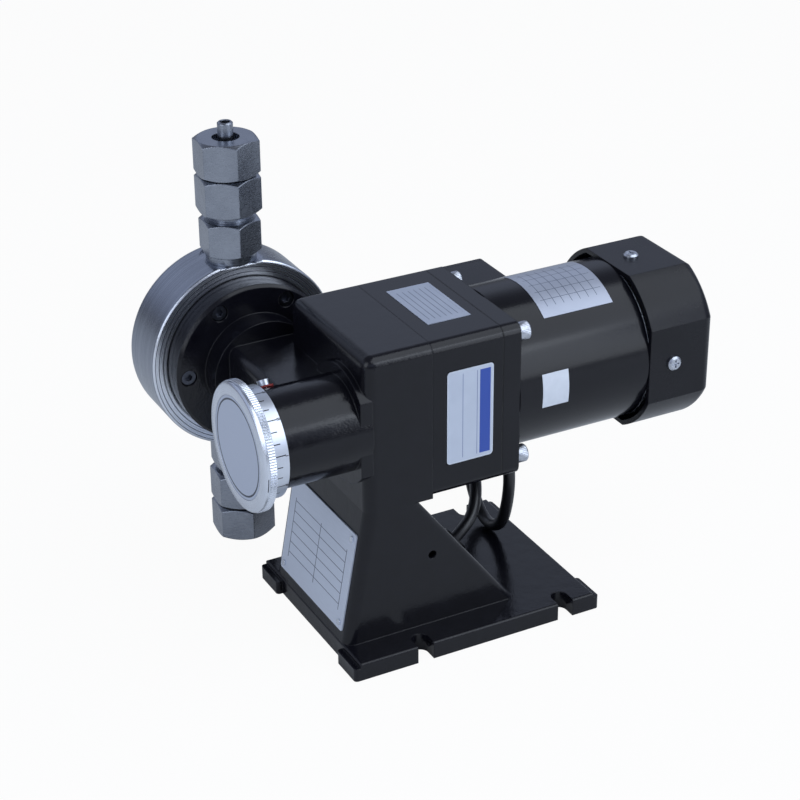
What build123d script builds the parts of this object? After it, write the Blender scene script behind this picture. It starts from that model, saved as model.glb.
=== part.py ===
from build123d import *
from math import acos, cos, degrees, hypot, pi, radians, sin, sqrt, tan
import os

# Diaphragm metering pump. X runs along the motor, Y towards the pump head, Z up.
# The origin is the middle of the four slots, on the underside of the foot. Sizes are in mm.

# Shared layout
AXIS_H = 133.0            # motor and crank axis above the floor
BODY = 90.0               # side of the square gear case
BODY_R = 6.0              # its corner radius
MOTOR_Y = 3.0             # motor axis
SHAFT_OFFSET = 20.0       # output shaft to motor axis
SEAM_X = -30.0            # joint of casting and gear case
BOX_L = 39.0              # length of the casting's square box
HEAD_X = -81.5            # pump head axis
RUN_FIT = 0.05            # radial clearance of running fits
SEAT_GAP = 0.2            # clearance between parts that turn past each other

# Foot and pillar
FOOT_L = 146.0
FOOT_W = 120.0
FOOT_T = 10.3
FOOT_X = -10.5            # middle of the foot along X
SLOT_PITCH_X = 88.0
SLOT_PITCH_Y = 106.5
SLOT_W = 9.5
PAD_OUT = 3.4
PAD_LEN = 22.0
PAD_DROP = 2.5
PILLAR_TOP = 88.0
PILLAR_FOOT_LEFT = -83.0
PILLAR_FOOT_RIGHT = 21.2
PILLAR_NECK_RIGHT = -38.5
WALL = 6.0

# Knob barrel, neck and head flange
BARREL_R = 26.5
BARREL_BORE_R = 22.5
BARREL_L = 45.5           # from the box face
BARREL_RING_R = 33.0
BARREL_RING_T = 3.0
NECK_W = 42.0
NECK_H = 39.0
NECK_END_Y = 54.0
NECK_BORE_R = 12.0
COLLAR_R = 30.0
COLLAR_T = 13.0
FLANGE_R = 46.3
FLANGE_T = 15.0
HEAD_R = 55.2
HEAD_T = 33.0
HEAD_LIP = 1.0            # depth that the flange sits in the head
HEAD_BOLTS = 6
HEAD_PCD = 79.0
HEAD_SCREW_R = 2.5

# Diaphragm and its drive
DIAPHRAGM_R = 36.0
DIAPHRAGM_T = 3.0
CHAMBER_R = 28.0
BACK_DISC_R = 20.0
BACK_DISC_T = 3.0
STEM_R = 6.0
TAPPET_R = 11.0
TAPPET_T = 4.0
BUSH_Y0 = 22.0
BUSH_L = 30.0
STROKE = 2.5              # throw of the cam at full setting
WEDGE_SLOPE = 0.5         # throw per travel of the slide rod
CAM_R = 19.0
CAM_INNER_R = 14.5
CAM_W = 12.0
DRUM_R = 7.0
DRUM_FLAT = 5.5
DRUM_END_X = -98.0
HUB_R = 14.0
BLADE_T = 5.0
BLADE_HALF = 9.5
BLADE_L = 18.0
ROD_R = 3.0
ROD_FLANGE_R = 6.0
SCREW_R = 4.0
NUT_T = 6.8

# Stroke knob and its scale
SCALE_R = 29.8
SCALE_T = 8.5
CAP_WALL = 2.5
KNOB_R = 35.0
KNOB_T = 6.8
KNOB_FLUTES = 72
KNOB_DISC_R = 27.8

# Gear train
MODULE = 0.8
PRESSURE = 25.0
ADDENDUM = 0.8
DEDENDUM = 1.0
BACKLASH = 0.16
TEETH_MOTOR = 12
TEETH_WHEEL = 42
TEETH_PINION = 14
TEETH_OUTPUT = 48
CASE_L = 42.0
CASE_WALL = 8.0
CAVITY_R = 46.0
CAVITY_W = 81.0
OUT_SHAFT_R = 7.5
OUT_JOURNAL_R = 4.5
OUT_BEARING_R = 16.0
OUT_BEARING_W = 9.0
CLUSTER_PIN_R = 3.0

# Motor
MFLANGE_T = 10.7
BOLT_SPREAD = 36.8
BOLT_R = 3.0
BOLT_HEAD_R = 5.0
SHELL_R = 45.5
SHELL_WALL = 3.0
SHELL_L = 81.8
CORE_L = 46.0
ROTOR_R = 25.7
AIR_GAP = 0.5
MOTOR_SHAFT_R = 4.0
MOTOR_BEARING_R = 11.0
MOTOR_BEARING_W = 7.0
COVER_R = 51.0
COVER_W = 92.0
COVER_L = 41.5
COVER_WALL = 2.7
FAN_R = 34.0
FAN_BLADES = 9

# Valves: hexagon ends measured out from the head axis
DISCHARGE = (57.5, 77.0, 81.0, 102.0, 102.5, 123.0)
SUCTION = (57.0, 75.0, 78.0, 98.5, 99.5, 119.0)
HEX_A = 30.0
HEX_B = 32.0
HEX_TURN = 25.0
SHANK_R = 14.0
VALVE_NECK_R = 11.0
PORT_R = 3.6
BALL_R = 5.0
BALL_LIFT = 2.0
CAGE_R = 6.4
SEAT_T = 3.0
NIPPLE_R = 4.3
NIPPLE_BORE = 2.8
NIPPLE_OUT = 8.5

# Cord and trim
CORD_R = 3.5
GLAND = (41.0, 54.0)
LABEL_T = 0.3
PLATE_T = 0.8

# Places that follow from the sizes above
HALF = BODY / 2
SHAFT_Y = MOTOR_Y - SHAFT_OFFSET
BOX_X = SEAM_X - BOX_L
BARREL_X = BOX_X - BARREL_L
FLANGE_Y = NECK_END_Y + COLLAR_T
HEAD_Y = FLANGE_Y + FLANGE_T - HEAD_LIP
VALVE_X = HEAD_X
VALVE_Y = HEAD_Y + 0.415 * HEAD_T
CASE_X = SEAM_X + CASE_L
SHELL_X = CASE_X + MFLANGE_T
COVER_X = SHELL_X + SHELL_L
CORE_X = SHELL_X + 19.3
CAP_X = BARREL_X - SCALE_T
KNOB_X = CAP_X - SEAT_GAP
NUT_X = CAP_X + CAP_WALL + 1.7 + NUT_T
THRUST_X = NUT_X + 4.0
HUB_END_X = HEAD_X + 23.5
GEAR_GAP_A = MODULE * (TEETH_MOTOR + TEETH_WHEEL) / 2
GEAR_GAP_B = MODULE * (TEETH_PINION + TEETH_OUTPUT) / 2

# The cluster gear's axis closes the triangle over the motor and output shafts
_across = (GEAR_GAP_B**2 - GEAR_GAP_A**2 + SHAFT_OFFSET**2) / (2 * SHAFT_OFFSET)
CLUSTER_Y = SHAFT_Y + _across
CLUSTER_Z = AXIS_H + sqrt(GEAR_GAP_B**2 - _across**2)


def along_x(sketch, x0, x1, y, z):
    """A sketch, drawn in Y and Z, carried from x0 to x1."""
    return extrude(Plane((x0, y, z), x_dir=(0, 1, 0), z_dir=(1, 0, 0)) * sketch, x1 - x0)


def along_y(sketch, y0, y1, x, z):
    """A sketch, drawn in X and Z, carried from y0 to y1."""
    return extrude(Plane((x, y0, z), x_dir=(1, 0, 0), z_dir=(0, 1, 0)) * sketch, y1 - y0)


def along_z(sketch, z0, z1, x, y):
    """A sketch, drawn in X and Y, carried from z0 to z1."""
    return extrude(Plane((x, y, z0)) * sketch, z1 - z0)


def block(x0, x1, y0, y1, z0, z1):
    """A box between its six faces."""
    return Pos((x0 + x1) / 2, (y0 + y1) / 2, (z0 + z1) / 2) * Box(x1 - x0, y1 - y0, z1 - z0)


def ring(outer, inner):
    return Circle(outer) - Circle(inner)


def hexagon(across_flats):
    return Rot(0, 0, HEX_TURN) * RegularPolygon(across_flats / 2, 6, major_radius=False)


def prism_y(points, y0, y1):
    """A closed outline of (x, z) points carried from y0 to y1."""
    face = make_face(Polyline([(x, y0, z) for x, z in points], close=True))
    return extrude(face, y1 - y0, dir=(0, 1, 0))


def save(node, *solids):
    """Writes one node, made of one solid or of a group of them."""
    shape = solids[0] if len(solids) == 1 else Compound(children=list(solids))
    export_step(shape, f"parts/{node}.step")


def right_slope(z, inset=0.0):
    """X of the pillar's right face at a height, moved inwards by inset along its normal."""
    run = PILLAR_FOOT_RIGHT - PILLAR_NECK_RIGHT
    drop = PILLAR_TOP - FOOT_T
    return PILLAR_NECK_RIGHT + run * (PILLAR_TOP - z) / drop - inset * hypot(run, drop) / drop


def left_slope(z, inset=0.0):
    """X of the pillar's left face at a height, moved inwards by inset."""
    run = PILLAR_FOOT_LEFT - BOX_X
    drop = PILLAR_TOP - FOOT_T
    return BOX_X + run * (PILLAR_TOP - z) / drop + inset * hypot(run, drop) / drop


# Foot, pillar and box of the casting: a prism with its outer edges rounded, hollow from below.
def foot():
    half_l = FOOT_L / 2
    half_w = FOOT_W / 2
    plate = block(FOOT_X - half_l, FOOT_X + half_l, -half_w, half_w, 0, FOOT_T)
    plate = fillet(plate.edges().group_by(Axis.Z)[-1], 1.2)
    for sx in (-1, 1):
        for sy in (-1, 1):
            x = FOOT_X + sx * (half_l + PAD_OUT - PAD_LEN / 2)
            y = sy * (half_w - PAD_LEN / 2)
            pad = Pos(x, y, 0) * extrude(RectangleRounded(PAD_LEN, PAD_LEN, 2.0), FOOT_T - PAD_DROP)
            plate += pad
    for sx in (-1, 1):
        for sy in (-1, 1):
            x = sx * SLOT_PITCH_X / 2
            y = sy * SLOT_PITCH_Y / 2
            end = sy * (half_w + 1)
            slot = along_z(Circle(SLOT_W / 2), -1, FOOT_T + 1, x, y)
            slot += block(x - SLOT_W / 2, x + SLOT_W / 2, min(y, end), max(y, end), -1, FOOT_T + 1)
            plate -= slot
    return plate


def pillar():
    top = AXIS_H + HALF
    outline = [
        (BOX_X, top),
        (SEAM_X, top),
        (SEAM_X, PILLAR_TOP),
        (PILLAR_NECK_RIGHT, PILLAR_TOP),
        (PILLAR_FOOT_RIGHT, FOOT_T),
        (PILLAR_FOOT_RIGHT, FOOT_T / 2),
        (PILLAR_FOOT_LEFT, FOOT_T / 2),
        (PILLAR_FOOT_LEFT, FOOT_T),
        (BOX_X, PILLAR_TOP),
    ]
    body = prism_y(outline, MOTOR_Y - HALF, MOTOR_Y + HALF)
    ends = (SEAM_X + BOX_X) / 2
    edges = [
        e for e in body.edges()
        if (abs(e.center().Z - top) < 0.1 and e.center().X < ends + 1)
        or (e.center().X < BOX_X + 0.1 and FOOT_T + 1 < e.center().Z < top - 1
            and abs(e.center().Y - MOTOR_Y) > 1)
    ]
    body = fillet(edges, BODY_R)
    right = [
        e for e in body.edges()
        if abs(e.center().Z - (PILLAR_TOP + FOOT_T) / 2) < 1 and e.center().X > -30
    ]
    return fillet(right, 3.0)


def pillar_hollow():
    """The space inside the pillar, open at the floor."""
    roof = PILLAR_TOP - WALL
    outline = [
        (left_slope(roof, WALL), roof),
        (right_slope(roof, WALL), roof),
        (right_slope(FOOT_T, WALL), FOOT_T),
        (right_slope(FOOT_T, WALL), -1),
        (left_slope(FOOT_T, WALL), -1),
        (left_slope(FOOT_T, WALL), FOOT_T),
    ]
    return prism_y(outline, MOTOR_Y - HALF + WALL, MOTOR_Y + HALF - WALL)


# Cord entry: a hole square to the pillar's right face, lined by a grommet.
ENTRY_Y = 11.0
ENTRY_Z = 22.0
GROMMET_R = 6.0


def entry_frame(depth):
    """The plane of the pillar's right face at the cord entry, moved out by depth."""
    run = PILLAR_FOOT_RIGHT - PILLAR_NECK_RIGHT
    drop = PILLAR_TOP - FOOT_T
    size = hypot(run, drop)
    normal = Vector(drop / size, 0, run / size)
    origin = Vector(right_slope(ENTRY_Z), ENTRY_Y, ENTRY_Z) + normal * depth
    return Plane(origin, x_dir=(0, 1, 0), z_dir=normal)


# Barrel, neck, collar and flange, which the bores then run through.
def pump_casting():
    body = foot() + pillar()
    body += along_x(Circle(BARREL_R), BARREL_X, BOX_X + 4, SHAFT_Y, AXIS_H)
    seat = along_x(Circle(BARREL_RING_R), BOX_X - BARREL_RING_T, BOX_X + 4, SHAFT_Y, AXIS_H)
    body += seat & block(-200, 200, MOTOR_Y - HALF, 100, 0, 300)
    neck = along_y(RectangleRounded(NECK_W, NECK_H, 5.0), SHAFT_Y, NECK_END_Y, HEAD_X, AXIS_H)
    body += neck
    body += along_y(Circle(COLLAR_R), NECK_END_Y, FLANGE_Y, HEAD_X, AXIS_H)
    flange = along_y(Circle(FLANGE_R), FLANGE_Y, FLANGE_Y + FLANGE_T, HEAD_X, AXIS_H)
    body += chamfer(flange.edges().group_by(Axis.Y)[0], 1.5)

    body -= pillar_hollow()
    body -= along_x(RectangleRounded(62, 62, 6), SEAM_X - BOX_L + 7, SEAM_X + 1, MOTOR_Y, AXIS_H)
    body -= along_x(Circle(BARREL_BORE_R), BARREL_X - 1, HUB_END_X + 1, SHAFT_Y, AXIS_H)
    body -= along_y(Circle(NECK_BORE_R), SHAFT_Y + 10, HEAD_Y, HEAD_X, AXIS_H)
    seat_y = HEAD_Y + HEAD_LIP - DIAPHRAGM_T
    body -= along_y(Circle(DIAPHRAGM_R), seat_y, HEAD_Y + 5, HEAD_X, AXIS_H)
    body -= along_y(Circle(CHAMBER_R), seat_y - BACK_DISC_T - 3, seat_y + 1, HEAD_X, AXIS_H)
    for x, z in head_bolt_spots():
        body -= along_y(Circle(HEAD_SCREW_R + 0.2), FLANGE_Y - 1, HEAD_Y + 5, x, z)
        body -= along_y(Circle(4.6), FLANGE_Y - 1, FLANGE_Y + 6, x, z)
    for y, z in corner_spots():
        body -= along_x(Circle(BOLT_R), SEAM_X - 15, SEAM_X + 1, y, z)
    body -= along_y(Circle(2.4), MOTOR_Y - HALF - 1, MOTOR_Y - HALF + WALL + 1, SEAM_X - 0.3, 53.3)
    body -= lock_line() * Cylinder(2.1, 40)
    body -= extrude(entry_frame(-WALL - 4) * Circle(GROMMET_R), WALL + 8)
    save("pump_casting", body)


def head_bolt_spots():
    """X and Z of the head screws, on their pitch circle."""
    for i in range(HEAD_BOLTS):
        a = radians(360 * i / HEAD_BOLTS)
        yield HEAD_X + HEAD_PCD / 2 * cos(a), AXIS_H + HEAD_PCD / 2 * sin(a)


def corner_spots():
    """Y and Z of the four bolts at the corners of the gear case."""
    for sy in (-1, 1):
        for sz in (-1, 1):
            yield MOTOR_Y + sy * BOLT_SPREAD, AXIS_H + sz * BOLT_SPREAD


# Lock screw in the barrel's outer end, leaning over towards the head.
LOCK_X = BARREL_X + 7.8
LOCK_LEAN = 35.0
LOCK_R = 2.0


def lock_line():
    """Places a thing along the lock screw's axis, its origin on the barrel's surface."""
    a = radians(LOCK_LEAN)
    y = SHAFT_Y + BARREL_R * sin(a)
    z = AXIS_H + BARREL_R * cos(a)
    return Pos(LOCK_X, y, z) * Rot(-LOCK_LEAN, 0, 0)


def lock_screw():
    reach = BARREL_R - BARREL_BORE_R - 0.3
    head = lock_line() * Pos(0, 0, 2.6) * Cylinder(3.4, 3.2)
    shank = lock_line() * Pos(0, 0, (1.0 - reach) / 2) * Cylinder(LOCK_R, reach + 1.0)
    slot = lock_line() * Pos(0, 0, 4.0) * Box(8, 1.0, 1.4)
    save("lock_screw", head + shank - slot)
    save("lock_washer", lock_line() * Pos(0, 0, 0.5) * (Cylinder(4.6, 1.0) - Cylinder(LOCK_R, 2)))


# Stroke scale: a cap on the barrel's end, which holds the adjusting screw's journal.
def scale_ring():
    body = along_x(Circle(SCALE_R), CAP_X, BARREL_X, SHAFT_Y, AXIS_H)
    body = chamfer(body.edges().group_by(Axis.X)[0], 0.6)
    body -= along_x(Circle(BARREL_BORE_R), CAP_X + CAP_WALL, BARREL_X + 1, SHAFT_Y, AXIS_H)
    body -= along_x(Circle(SCREW_R + RUN_FIT), CAP_X - 1, BARREL_X, SHAFT_Y, AXIS_H)
    save("stroke_scale", body)


# Stroke knob: fluted rim with a chamfer to the front, and a disc let into its face.
def stroke_knob():
    front = KNOB_X - KNOB_T
    body = along_x(Circle(KNOB_R), front, KNOB_X, SHAFT_Y, AXIS_H)
    body = chamfer(body.edges().group_by(Axis.X)[0], 1.6)
    for i in range(KNOB_FLUTES):
        turn = Pos(0, SHAFT_Y, AXIS_H) * Rot(360 * i / KNOB_FLUTES, 0, 0)
        flute = along_x(Rectangle(0.9, 0.9, rotation=45), front - 1, KNOB_X + 1, 0, KNOB_R + 0.05)
        body -= turn * flute
    body -= along_x(Circle(KNOB_DISC_R), front - 1, front + 0.8, SHAFT_Y, AXIS_H)
    body -= along_x(Circle(SCREW_R), front, KNOB_X + 1, SHAFT_Y, AXIS_H)
    save("stroke_knob", body)
    disc = along_x(Circle(KNOB_DISC_R - 0.2), front + 0.1, front + 0.8, SHAFT_Y, AXIS_H)
    save("knob_disc", disc)


# Adjusting screw, turned by the knob and held endways by its collar behind the cap.
def adjusting_screw():
    tip = THRUST_X - 0.4
    body = along_x(Circle(SCREW_R), KNOB_X - KNOB_T + 0.8, tip, SHAFT_Y, AXIS_H)
    collar_x = CAP_X + CAP_WALL
    body += along_x(Circle(7), collar_x + 0.1, collar_x + 1.5, SHAFT_Y, AXIS_H)
    save("adjusting_screw", body)


def adjusting_nut():
    nut = Circle(BARREL_BORE_R - SEAT_GAP) - Circle(SCREW_R + RUN_FIT)
    save("adjusting_nut", along_x(nut, NUT_X - NUT_T, NUT_X, SHAFT_Y, AXIS_H))
    save("thrust_bearing", along_x(ring(9.0, SCREW_R + 0.6), NUT_X, THRUST_X, SHAFT_Y, AXIS_H))


def wedge_line(half):
    """Outline in X and Y of the oblique blade, or of the groove that it runs in."""
    x0 = HEAD_X - BLADE_L + 6.5
    x1 = HEAD_X + 6.5
    y0 = SHAFT_Y - (x0 - HEAD_X) * WEDGE_SLOPE
    y1 = SHAFT_Y - (x1 - HEAD_X) * WEDGE_SLOPE
    return [(x0, y0 - half), (x1, y1 - half), (x1, y1 + half), (x0, y0 + half)]


def wedge(half, thick):
    """The oblique blade as a solid of that half height and thickness."""
    points = [(x, y, AXIS_H - thick / 2) for x, y in wedge_line(half)]
    return extrude(make_face(Polyline(points, close=True)), thick, dir=(0, 0, 1))


# Slide rod: an oblique blade in the drum's slot, pushed in by the nut to give the cam its throw.
def slide_rod():
    x0 = HEAD_X - BLADE_L + 6.5
    body = wedge(BLADE_HALF, BLADE_T)
    body += along_x(Circle(ROD_R), THRUST_X, x0, SHAFT_Y, AXIS_H)
    body += along_x(Circle(ROD_FLANGE_R), THRUST_X, THRUST_X + 3, SHAFT_Y, AXIS_H)
    save("slide_rod", body)


# Crank carrier: hub on the output shaft, and a slotted drum with two flats that guide the cam.
def crank_carrier():
    travel = STROKE / WEDGE_SLOPE
    hub_x = HEAD_X + 9.5
    body = along_x(Circle(DRUM_R), DRUM_END_X, hub_x, SHAFT_Y, AXIS_H)
    flat = Rectangle(4 * DRUM_R, DRUM_R)
    for side in (-1, 1):
        z = AXIS_H + side * (DRUM_FLAT + DRUM_R / 2)
        body -= along_x(flat, HEAD_X - BLADE_L + 6.5 - 0.6, hub_x, SHAFT_Y, z)
    body += along_x(Circle(HUB_R), hub_x, HUB_END_X, SHAFT_Y, AXIS_H)
    slot_x0 = HEAD_X - BLADE_L + 6.5 - 0.6
    slot_x1 = HEAD_X + 6.5 + travel + 0.6
    gap = BLADE_T / 2 + RUN_FIT
    body -= block(slot_x0, slot_x1, SHAFT_Y - 30, SHAFT_Y + 30, AXIS_H - gap, AXIS_H + gap)
    rod_bore = Circle(ROD_R + RUN_FIT)
    body -= along_x(rod_bore, DRUM_END_X - 1, slot_x0 + travel + 1, SHAFT_Y, AXIS_H)
    body -= along_x(Circle(OUT_SHAFT_R), HEAD_X + 15.5, HEAD_X + 30, SHAFT_Y, AXIS_H)
    save("crank_carrier", body)
    inner = along_x(ring(BARREL_BORE_R, HUB_R + RUN_FIT), BOX_X, BOX_X + 8, SHAFT_Y, AXIS_H)
    outer = along_x(
        ring(BARREL_BORE_R, DRUM_R + RUN_FIT), DRUM_END_X, DRUM_END_X + 4, SHAFT_Y, AXIS_H
    )
    save("crank_bearings", inner, outer)


# Cam: a block that slides square to the shaft on the drum's flats, inside its bearing ring.
def cam():
    x0 = HEAD_X - CAM_W / 2
    x1 = HEAD_X + CAM_W / 2
    body = along_x(Circle(CAM_INNER_R), x0, x1, SHAFT_Y, AXIS_H)
    window = Rectangle(2 * (DRUM_R + STROKE + 0.1), 2 * (DRUM_FLAT + RUN_FIT))
    body -= along_x(window, x0 - 1, x1 + 1, SHAFT_Y, AXIS_H)
    body -= wedge(BLADE_HALF + RUN_FIT, BLADE_T + 2 * RUN_FIT)
    save("cam_block", body)
    save("cam_bearing", along_x(ring(CAM_R, CAM_INNER_R), x0, x1, SHAFT_Y, AXIS_H))


# Push rod: flat tappet on the cam ring, stem in its bush, disc behind the diaphragm.
def push_rod():
    y0 = SHAFT_Y + CAM_R + 0.1
    disc_y = HEAD_Y + HEAD_LIP - DIAPHRAGM_T
    body = along_y(Circle(TAPPET_R), y0, y0 + TAPPET_T, HEAD_X, AXIS_H)
    body += along_y(Circle(STEM_R), y0 + TAPPET_T, disc_y, HEAD_X, AXIS_H)
    disc = along_y(Circle(BACK_DISC_R), disc_y - BACK_DISC_T, disc_y, HEAD_X, AXIS_H)
    body += chamfer(disc.edges().group_by(Axis.Y)[0], 1.0)
    save("push_rod", body)
    bush = ring(NECK_BORE_R, STEM_R + RUN_FIT)
    save("rod_bush", along_y(bush, BUSH_Y0, BUSH_Y0 + BUSH_L, HEAD_X, AXIS_H))


# Return spring between the bush and the tappet, three and a half turns.
def return_spring():
    wire = 0.9
    coil_r = 8.4
    y0 = SHAFT_Y + CAM_R + 0.1 + TAPPET_T + wire + 0.1
    length = BUSH_Y0 - wire - 0.1 - y0
    path = Helix(length / 3.5, length, coil_r)
    start = Plane(path @ 0, z_dir=path % 0)
    coil = sweep(start * Rectangle(1.5 * wire, 1.5 * wire), path, is_frenet=True)
    save("return_spring", Pos(HEAD_X, y0, AXIS_H) * Rot(-90, 0, 0) * coil)


def diaphragm():
    seat_y = HEAD_Y + HEAD_LIP - DIAPHRAGM_T
    save("diaphragm", along_y(Circle(DIAPHRAGM_R), seat_y, HEAD_Y + HEAD_LIP, HEAD_X, AXIS_H))


# Pump head: a turned disc with a lip over the flange, a dished chamber and two ports.
def pump_head():
    y1 = HEAD_Y + HEAD_T
    body = along_y(Circle(HEAD_R), HEAD_Y, y1, HEAD_X, AXIS_H)
    body = chamfer(body.edges().group_by(Axis.Y)[0], 0.8)
    body = fillet(body.edges().group_by(Axis.Y)[-1], 2.0)
    face = HEAD_Y + HEAD_LIP
    body -= along_y(Circle(FLANGE_R + 0.3), HEAD_Y - 1, face, HEAD_X, AXIS_H)
    body -= along_y(Circle(CHAMBER_R), face - 0.5, face + STROKE + 1.0, HEAD_X, AXIS_H)
    for side, ends in ((1, DISCHARGE), (-1, SUCTION)):
        spot = ends[0] - 4.5
        flat = along_z(Circle(18), 0, 20, VALVE_X, VALVE_Y)
        thread = along_z(Circle(9), -12, 1, VALVE_X, VALVE_Y)
        port = along_z(Circle(PORT_R), -40, 1, VALVE_X, VALVE_Y)
        turn = Pos(0, 0, AXIS_H) * Rot(0 if side > 0 else 180, 0, 0) * Pos(0, 0, spot)
        if side < 0:
            turn = turn * Pos(0, -2 * VALVE_Y, 0)
        body -= turn * (flat + thread + port)
        z = AXIS_H + side * (CHAMBER_R - 6)
        body -= along_y(Circle(PORT_R), face, VALVE_Y, VALVE_X, z)
    for x, z in head_bolt_spots():
        body -= along_y(Circle(HEAD_SCREW_R), HEAD_Y - 1, HEAD_Y + 14, x, z)
    save("pump_head", body)


def head_screws():
    screws = []
    for x, z in head_bolt_spots():
        screw = along_y(Circle(4.2), FLANGE_Y + 1, FLANGE_Y + 6, x, z)
        screw += along_y(Circle(HEAD_SCREW_R), FLANGE_Y + 6, HEAD_Y + 12, x, z)
        screw -= along_y(RegularPolygon(2.0, 6, major_radius=False), FLANGE_Y, FLANGE_Y + 3.5, x, z)
        screws.append(screw)
    save("head_screws", *screws)


def chamfered_hex(across, length, both=True):
    """A hexagon bar with its corners turned off at the ends."""
    body = extrude(hexagon(across), length)
    cone_r = across / sqrt(3)
    drop = (cone_r - across / 2 * 0.97) * 0.55
    turned = Pos(0, 0, length / 2) * Cylinder(cone_r, length)
    ends = turned.edges().group_by(Axis.Z)
    picked = ends[0] + ends[-1] if both else ends[-1]
    return body & chamfer(picked, drop, (cone_r - across / 2 * 0.97))


# One valve from the head outwards: body, fitting, union nut and hose nipple.
def valve(name, ends, side, nipple_out):
    hex_a, neck_a, hex_b, neck_b, nut_0, nut_1 = ends

    def place(shape):
        up = Pos(VALVE_X, VALVE_Y, AXIS_H)
        return up * shape if side > 0 else up * mirror(shape, Plane.XY)

    def bar(r, a, b):
        return Pos(0, 0, (a + b) / 2) * Cylinder(r, b - a)

    body = bar(9.0, hex_a - 14.5, hex_a - 4.5) + bar(SHANK_R, hex_a - 4.5, hex_a)
    body += Pos(0, 0, hex_a) * chamfered_hex(HEX_A, neck_a - hex_a)
    body += bar(VALVE_NECK_R, neck_a, hex_b)
    body -= bar(PORT_R, hex_a - 20, hex_b + 1)
    if side > 0:
        body -= bar(CAGE_R, hex_a + 2.5, hex_b + 1)
    else:
        body -= bar(CAGE_R, hex_a - 20, neck_a)
    save(f"{name}_body", place(body))

    fitting = Pos(0, 0, hex_b) * chamfered_hex(HEX_B, neck_b - hex_b)
    fitting += bar(11.8, neck_b, nut_1 - 10.0)
    fitting -= bar(PORT_R, hex_b - 1, nut_1)
    save(f"{name}_fitting", place(fitting))

    nut = Pos(0, 0, nut_0) * chamfered_hex(HEX_B, nut_1 - nut_0)
    nut -= bar(12.0, nut_0 - 1, nut_1 - 6.0)
    nut -= bar(7.5, nut_0, nut_1 + 1)
    save(f"{name}_union_nut", place(nut))

    nipple = bar(11.6, nut_1 - 10.0, nut_1 - 6.0)
    tube = bar(NIPPLE_R, nut_1 - 6.0, nut_1 + nipple_out)
    nipple += chamfer(tube.edges().group_by(Axis.Z)[-1], 0.7)
    nipple -= bar(NIPPLE_BORE, nut_0, nut_1 + 20)
    save(f"{name}_nipple", place(nipple))


# Seats, balls and cages. Liquid rises through both valves, so each ball sits on top of its seat.
def valve_insides():
    seats = []
    cages = []
    floors = {
        "discharge_ball": AXIS_H + DISCHARGE[0] + 2.5,
        "suction_ball": AXIS_H - SUCTION[1],
    }
    for name, z0 in floors.items():
        top = z0 + SEAT_T
        seats.append(along_z(ring(CAGE_R, PORT_R), z0, top, VALVE_X, VALVE_Y))
        centre = top + sqrt(BALL_R**2 - PORT_R**2) + 0.02
        save(name, Pos(VALVE_X, VALVE_Y, centre) * Sphere(BALL_R))
        throat = PORT_R - 0.4
        stop = centre + BALL_LIFT + 0.05 + sqrt(BALL_R**2 - throat**2)
        cage = along_z(ring(CAGE_R, BALL_R + 0.4), top, stop, VALVE_X, VALVE_Y)
        cage += along_z(ring(CAGE_R, throat), stop, stop + 2.5, VALVE_X, VALVE_Y)
        cages.append(cage)
    save("valve_seats", *seats)
    save("valve_cages", *cages)


def involute_gear(teeth, width, aim):
    """Spur gear blank, drawn flat, with one tooth centred on the direction aim in degrees."""
    pitch_r = MODULE * teeth / 2
    base_r = pitch_r * cos(radians(PRESSURE))
    tip_r = pitch_r + ADDENDUM * MODULE
    root_r = pitch_r - DEDENDUM * MODULE
    lean = tan(radians(PRESSURE)) - radians(PRESSURE)
    half = pi / (2 * teeth) - BACKLASH / (4 * pitch_r) + lean

    def flank(r):
        a = acos(min(1.0, base_r / r))
        return half - (tan(a) - a)

    low = max(root_r, base_r)
    steps = [(root_r, flank(low))] if root_r < base_r else []
    steps += [(r, flank(r)) for r in (low, (low + tip_r) / 2, tip_r)]
    points = []
    for i in range(teeth):
        middle = radians(aim) + 2 * pi * i / teeth
        for r, a in steps:
            points.append((r * cos(middle - a), r * sin(middle - a)))
        for r, a in reversed(steps):
            points.append((r * cos(middle + a), r * sin(middle + a)))
    return make_face(Polyline(points, close=True))


def bearing_of(y0, z0, y1, z1):
    """Direction from one axis to another, in degrees from +Y towards +Z."""
    a = degrees(acos((y1 - y0) / hypot(y1 - y0, z1 - z0)))
    return a if z1 >= z0 else -a


# Two-stage train: motor pinion to the cluster's wheel, the cluster's pinion to the output wheel.
MESH_A = bearing_of(MOTOR_Y, AXIS_H, CLUSTER_Y, CLUSTER_Z)
MESH_B = bearing_of(CLUSTER_Y, CLUSTER_Z, SHAFT_Y, AXIS_H)
OUT_GEAR_X = SEAM_X + OUT_BEARING_W + 1.0
OUT_GEAR_W = 10.0
WHEEL_X = OUT_GEAR_X + OUT_GEAR_W + 2.0
WHEEL_W = 6.0


def output_train():
    x1 = OUT_GEAR_X + OUT_GEAR_W
    shaft = along_x(Circle(OUT_SHAFT_R), HEAD_X + 15.5, x1, SHAFT_Y, AXIS_H)
    shaft += along_x(Circle(OUT_JOURNAL_R), x1, CASE_X + 4.5, SHAFT_Y, AXIS_H)
    save("output_shaft", shaft)
    wheel = involute_gear(TEETH_OUTPUT, OUT_GEAR_W, MESH_B + 180 + 180 / TEETH_OUTPUT)
    wheel -= Circle(OUT_SHAFT_R)
    save("output_wheel", along_x(wheel, OUT_GEAR_X, x1, SHAFT_Y, AXIS_H))
    front = along_x(ring(OUT_BEARING_R, OUT_SHAFT_R + RUN_FIT), SEAM_X, SEAM_X + OUT_BEARING_W, SHAFT_Y, AXIS_H)
    rear = along_x(ring(7.5, OUT_JOURNAL_R + RUN_FIT), CASE_X, CASE_X + 5, SHAFT_Y, AXIS_H)
    save("output_bearings", front, rear)


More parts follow.
